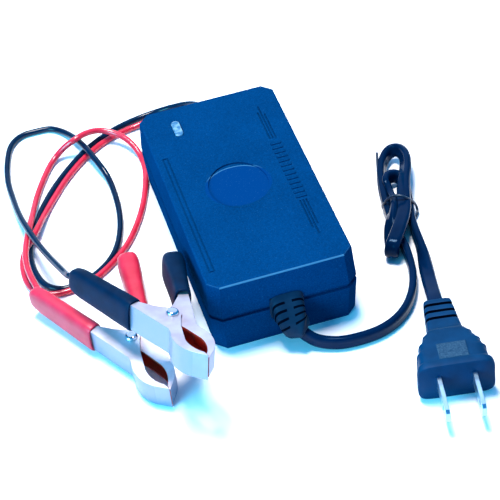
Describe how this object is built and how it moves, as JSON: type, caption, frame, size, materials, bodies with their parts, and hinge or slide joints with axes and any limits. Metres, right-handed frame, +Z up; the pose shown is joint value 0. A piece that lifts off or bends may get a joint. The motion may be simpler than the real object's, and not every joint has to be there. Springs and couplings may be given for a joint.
{
  "type": "car battery charger",
  "caption": "Compact mains battery charger brick with a moulded blue case, a tied flat cord to a two-blade plug, and red and black leads to sprung battery clips.",
  "frame": {"origin": "middle of the case's underside", "axes": "+Z up, +Y along the case from the mains cord's end to the clip leads' end, +X across the case to the right seen from the mains end"},
  "size_m": [0.1633, 0.2195, 0.0362],
  "materials": {
    "case_plastic": "fine spark-eroded grain",
    "gland_rubber": "satin",
    "lens": "clear, slightly frosted",
    "screw_steel": "zinc plated",
    "board": "solder mask",
    "ceramic": "dipped coating",
    "glass_tube": "clear",
    "cap_metal": "plated",
    "film_yellow": "moulded",
    "ferrite": "sintered",
    "copper": "enamelled copper wire",
    "chip_black": "moulded epoxy",
    "can_sleeve": "shrink sleeve",
    "tape_yellow": "polyester tape",
    "heatsink": "mill finish",
    "sheet": "fish paper",
    "led_red": "clear tinted",
    "wire_skin": "pvc",
    "cord_pvc": "extruded pvc",
    "tie_pvc": "coated wire",
    "plug_pvc": "moulded pvc",
    "blade_metal": "nickel plated",
    "lead_red": "extruded pvc",
    "lead_black": "extruded pvc",
    "clip_steel": "copper-flashed, bright plated steel",
    "rivet_metal": "bright plated",
    "spring_steel": "spring wire",
    "sleeve_red": "dipped pvc",
    "sleeve_black": "dipped pvc"
  },
  "bodies": {
    "charger": {"top_cover": "case_plastic", "bottom_case": "case_plastic", "case_screws": "screw_steel", "led_lens": "lens", "status_led": "led_red", "mains_strain_relief": "gland_rubber", "lead_grommet": "gland_rubber", "circuit_board": "board", "board_screws": "screw_steel", "fuse_glass": "glass_tube", "fuse_caps": "cap_metal", "thermistor": "ceramic", "x_capacitor": "film_yellow", "line_choke_core": "ferrite", "line_choke_windings": "copper", "bridge_rectifier": "chip_black", "bulk_capacitor": "can_sleeve", "transformer_core": "ferrite", "transformer_winding": "tape_yellow", "transformer_pin_rails": "chip_black", "primary_heatsink": "heatsink", "switching_transistor": "chip_black", "controller_chip": "chip_black", "optocoupler": "chip_black", "y_capacitor": "ceramic", "secondary_heatsink": "heatsink", "output_diode": "chip_black", "output_capacitors": "can_sleeve", "output_choke": "copper", "output_choke_core": "ferrite", "insulation_sheet": "sheet", "mains_core_wires": "wire_skin", "output_core_wires": "wire_skin", "mains_cord_run": "cord_pvc", "mains_cord_hank": "cord_pvc", "mains_cord_tail": "cord_pvc", "twist_tie": "tie_pvc", "plug_body": "plug_pvc", "plug_blades": "blade_metal", "red_lead": "lead_red", "black_lead": "lead_black", "red_clip_fixed_jaw": "clip_steel", "red_clip_rivet": "rivet_metal", "red_clip_spring": "spring_steel", "red_clip_fixed_sleeve": "sleeve_red", "red_clip_wire_crimp": "clip_steel", "black_clip_fixed_jaw": "clip_steel", "black_clip_rivet": "rivet_metal", "black_clip_spring": "spring_steel", "black_clip_fixed_sleeve": "sleeve_black", "black_clip_wire_crimp": "clip_steel"},
    "red_clip_jaw": {"red_clip_moving_jaw": "clip_steel", "red_clip_moving_sleeve": "sleeve_red"},
    "black_clip_jaw": {"black_clip_moving_jaw": "clip_steel", "black_clip_moving_sleeve": "sleeve_black"}
  },
  "joints": [
    {"name": "red_clip", "type": "hinge", "parent": "charger", "child": "red_clip_jaw", "pos_m": [-0.05632, -0.04479, 0.00684], "axis": [-0.0241, -0.0576, 0.998], "range_deg": [0, 30], "stiffness_Nm_per_rad": 0.06, "springref_deg": -20.05, "deforming": ["red_clip_spring"]},
    {"name": "black_clip", "type": "hinge", "parent": "charger", "child": "black_clip_jaw", "pos_m": [-0.0432, -0.06001, 0.02694], "axis": [0.1763, 0.1752, 0.9686], "range_deg": [0, 30], "stiffness_Nm_per_rad": 0.06, "springref_deg": -20.05, "deforming": ["black_clip_spring"]}
  ]
}
